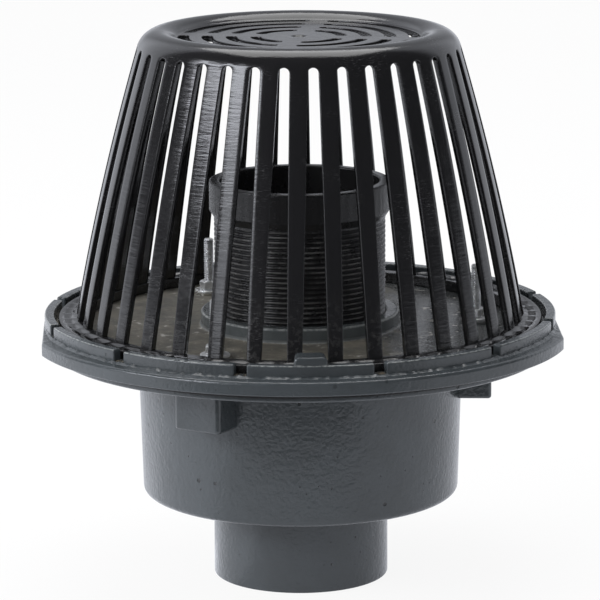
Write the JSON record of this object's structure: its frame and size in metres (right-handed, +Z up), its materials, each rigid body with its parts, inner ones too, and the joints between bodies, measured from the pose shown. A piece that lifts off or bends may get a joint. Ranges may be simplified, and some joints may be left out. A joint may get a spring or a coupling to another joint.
{
  "type": "flat roof drain",
  "caption": "Flat roof drain: cast body with a no-hub outlet, clamp plate with gravel guard, threaded overflow standpipe and a slotted dome strainer that turns under hooks.",
  "frame": {"origin": "centre of the outlet's lower end, on the drain's axis", "axes": "+Z up along the drain's axis, -Y towards the front, +X to the right"},
  "size_m": [0.3292, 0.342, 0.3509],
  "materials": {
    "body": "gloss paint over a cast surface",
    "plate": "gloss paint over a cast surface, with a dusty floor",
    "dome": "glossy black moulding",
    "standpipe": "satin black moulding",
    "fasteners": "bright zinc plating"
  },
  "bodies": {
    "drain": {"clamp_nut_1": "fasteners", "clamp_nut_2": "fasteners", "clamp_nut_3": "fasteners", "washer_1": "fasteners", "washer_2": "fasteners", "washer_3": "fasteners", "clamp_plate": "plate", "stud_1": "fasteners", "stud_2": "fasteners", "stud_3": "fasteners", "drain_body": "body"},
    "dome": {"dome_strainer": "dome"},
    "standpipe": {"overflow_standpipe": "standpipe"}
  },
  "joints": [
    {"name": "dome_turn", "type": "hinge", "parent": "drain", "child": "dome", "pos_m": [0, 0, 0.1628], "axis": [0, 0, 1], "range_deg": [0, 30]},
    {"name": "standpipe_height", "type": "slide", "parent": "drain", "child": "standpipe", "axis": [0, 0, 1], "range_m": [-0.058, 0.012]}
  ]
}
